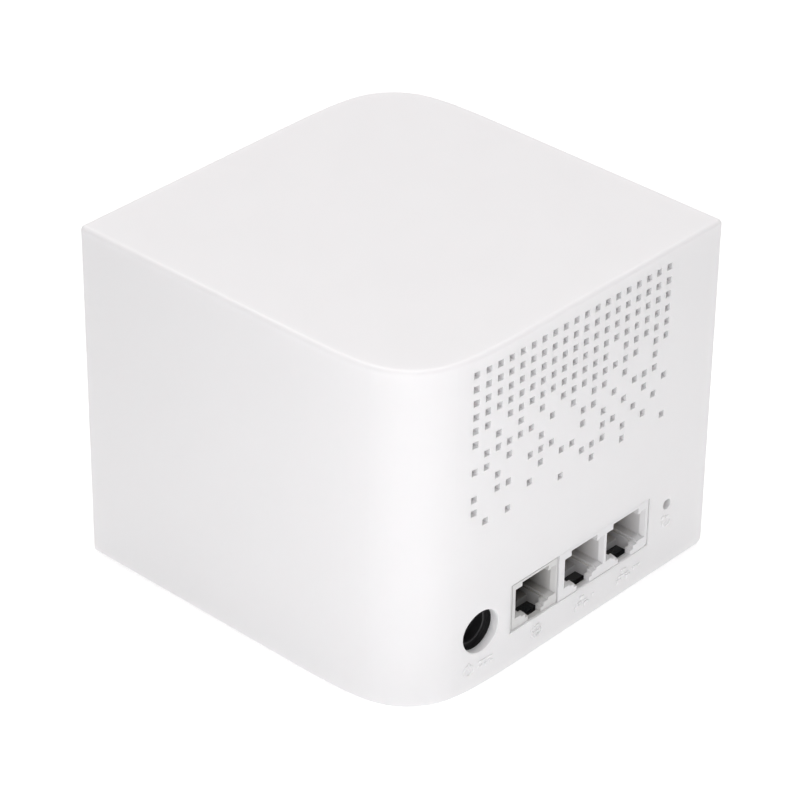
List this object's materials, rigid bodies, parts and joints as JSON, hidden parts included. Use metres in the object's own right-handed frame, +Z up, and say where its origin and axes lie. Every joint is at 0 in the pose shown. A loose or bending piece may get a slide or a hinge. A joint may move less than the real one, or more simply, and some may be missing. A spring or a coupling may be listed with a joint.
{
  "type": "wireless router",
  "caption": "Cube-shaped wireless router with two rounded upright corners, a square vent grid, network sockets, a power inlet and a recessed reset switch on its connector side.",
  "frame": {"origin": "on the table, under the middle of the housing", "axes": "+Z up, +Y out of the connector side, +X towards the power inlet; the status light is on the -Y side"},
  "size_m": [0.09, 0.0904, 0.0778],
  "materials": {
    "housing_white": "satin",
    "base_white": "matte",
    "foot_rubber": "matte",
    "screw_steel": "satin",
    "label_film": "satin",
    "jack_grey": "satin",
    "jack_white": "satin",
    "jack_black": "satin",
    "contact_gold": "polished",
    "nickel": "polished",
    "black_plastic": "satin",
    "stem_plastic": "satin",
    "spring_steel": "satin",
    "light_guide": "gloss",
    "led_lens": "gloss",
    "board_black": "satin",
    "chip_black": "matte",
    "pad_grey": "matte",
    "sink_aluminium": "satin",
    "pin_nylon": "satin",
    "shield_tin": "satin",
    "capacitor_can": "satin",
    "ferrite": "matte",
    "crystal_can": "polished",
    "frame_plastic": "matte",
    "antenna_board": "satin",
    "connector_gold": "polished",
    "lead_black": "satin"
  },
  "bodies": {
    "router_body": {"outer_housing": "housing_white", "base_cover": "base_white", "rubber_feet": "foot_rubber", "base_screws": "screw_steel", "blank_label": "label_film", "main_board": "board_black", "board_screws": "screw_steel", "wan_jack_housing": "jack_grey", "wan_contact_carrier": "jack_black", "wan_jack_contacts": "contact_gold", "lan_jack_housing": "jack_white", "lan_contact_carriers": "jack_black", "lan_jack_contacts": "contact_gold", "dc_jack_body": "black_plastic", "dc_jack_pin": "nickel", "dc_jack_spring": "nickel", "reset_switch_body": "black_plastic", "reset_switch_dome": "spring_steel", "reset_switch_bracket": "spring_steel", "reset_switch_terminals": "nickel", "led_light_guide": "light_guide", "status_led": "led_lens", "main_processor": "chip_black", "thermal_pad": "pad_grey", "heatsink": "sink_aluminium", "heatsink_pins": "pin_nylon", "memory_chip": "chip_black", "flash_chip": "chip_black", "radio_chips": "chip_black", "radio_shield_frame": "shield_tin", "radio_shield_cover": "shield_tin", "ethernet_transformers": "chip_black", "filter_capacitors": "capacitor_can", "power_inductors": "ferrite", "clock_crystals": "crystal_can", "antenna_frame": "frame_plastic", "antenna_right": "antenna_board", "antenna_left": "antenna_board", "antenna_front": "antenna_board", "antenna_rear": "antenna_board", "antenna_sockets": "connector_gold", "antenna_plugs": "connector_gold", "antenna_lead_right": "lead_black", "antenna_lead_left": "lead_black", "antenna_lead_front": "lead_black", "antenna_lead_rear": "lead_black"},
    "reset_stem": {"reset_switch_stem": "stem_plastic"}
  },
  "joints": [
    {"name": "reset_press", "type": "slide", "parent": "router_body", "child": "reset_stem", "axis": [0, -1, 0], "range_m": [0, 0.00025], "stiffness_N_per_m": 6400}
  ]
}
